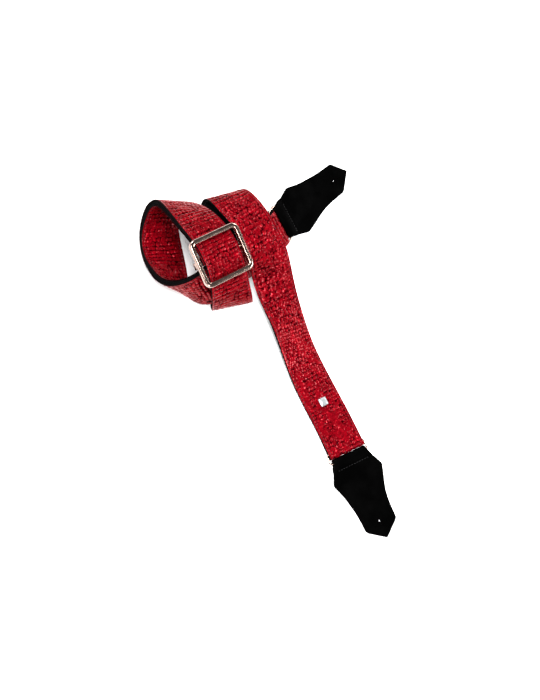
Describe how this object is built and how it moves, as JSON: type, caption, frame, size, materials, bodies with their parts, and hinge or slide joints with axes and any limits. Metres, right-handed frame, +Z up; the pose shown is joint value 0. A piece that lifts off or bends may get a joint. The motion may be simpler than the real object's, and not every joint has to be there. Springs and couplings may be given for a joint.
{
  "type": "guitar strap",
  "caption": "Adjustable guitar strap of embossed leather, loosely coiled, with rectangular slider, wire rings and pointed end tabs with button holes.",
  "frame": {"origin": "middle of the foot of the whole strap as it lies on a table", "axes": "+Z up from the table; +Y along the longer side, from the front end tab towards the coil; +X towards the rear end tab"},
  "size_m": [0.335, 0.46, 0.0974],
  "materials": {
    "red_leather": "glossy, embossed in scales",
    "black_lining": "matt suede, painted edges",
    "black_leather": "matt smooth",
    "nickel": "polished nickel",
    "stud_metal": "polished"
  },
  "bodies": {
    "strap": {"strap_face": "red_leather", "strap_lining": "black_lining", "stud_cap": "stud_metal", "stud_post": "stud_metal", "stud_washer": "stud_metal"},
    "slider": {"slider_frame": "nickel", "slider_bar": "nickel", "bar_loop": "red_leather"},
    "front_ring": {"front_ring": "nickel"},
    "front_tab": {"front_tab": "black_leather"},
    "rear_ring": {"rear_ring": "nickel"},
    "rear_tab": {"rear_tab": "black_leather"}
  },
  "joints": [
    {"name": "slider_travel", "type": "hinge", "parent": "strap", "child": "slider", "pos_m": [-0.09888, 0.08884, 0.01659], "axis": [-0.8376, -0.538, 0.0945], "range_deg": [-4, 5]},
    {"name": "front_ring_swing", "type": "hinge", "parent": "strap", "child": "front_ring", "pos_m": [0.10053, -0.12287, 0.00384], "axis": [-0.89, -0.456, 0], "range_deg": [-60, 90]},
    {"name": "front_tab_swing", "type": "hinge", "parent": "front_ring", "child": "front_tab", "pos_m": [0.106, -0.13354, 0.0041], "axis": [-0.89, -0.456, 0], "range_deg": [-60, 80]},
    {"name": "rear_ring_swing", "type": "hinge", "parent": "strap", "child": "rear_ring", "pos_m": [0.0076, 0.14748, 0.0194], "axis": [0.6409, -0.4938, -0.5877], "range_deg": [-45, 45]},
    {"name": "rear_tab_swing", "type": "hinge", "parent": "rear_ring", "child": "rear_tab", "pos_m": [0.01484, 0.15706, 0.01924], "axis": [0.6409, -0.4938, -0.5877], "range_deg": [-60, 60]}
  ]
}
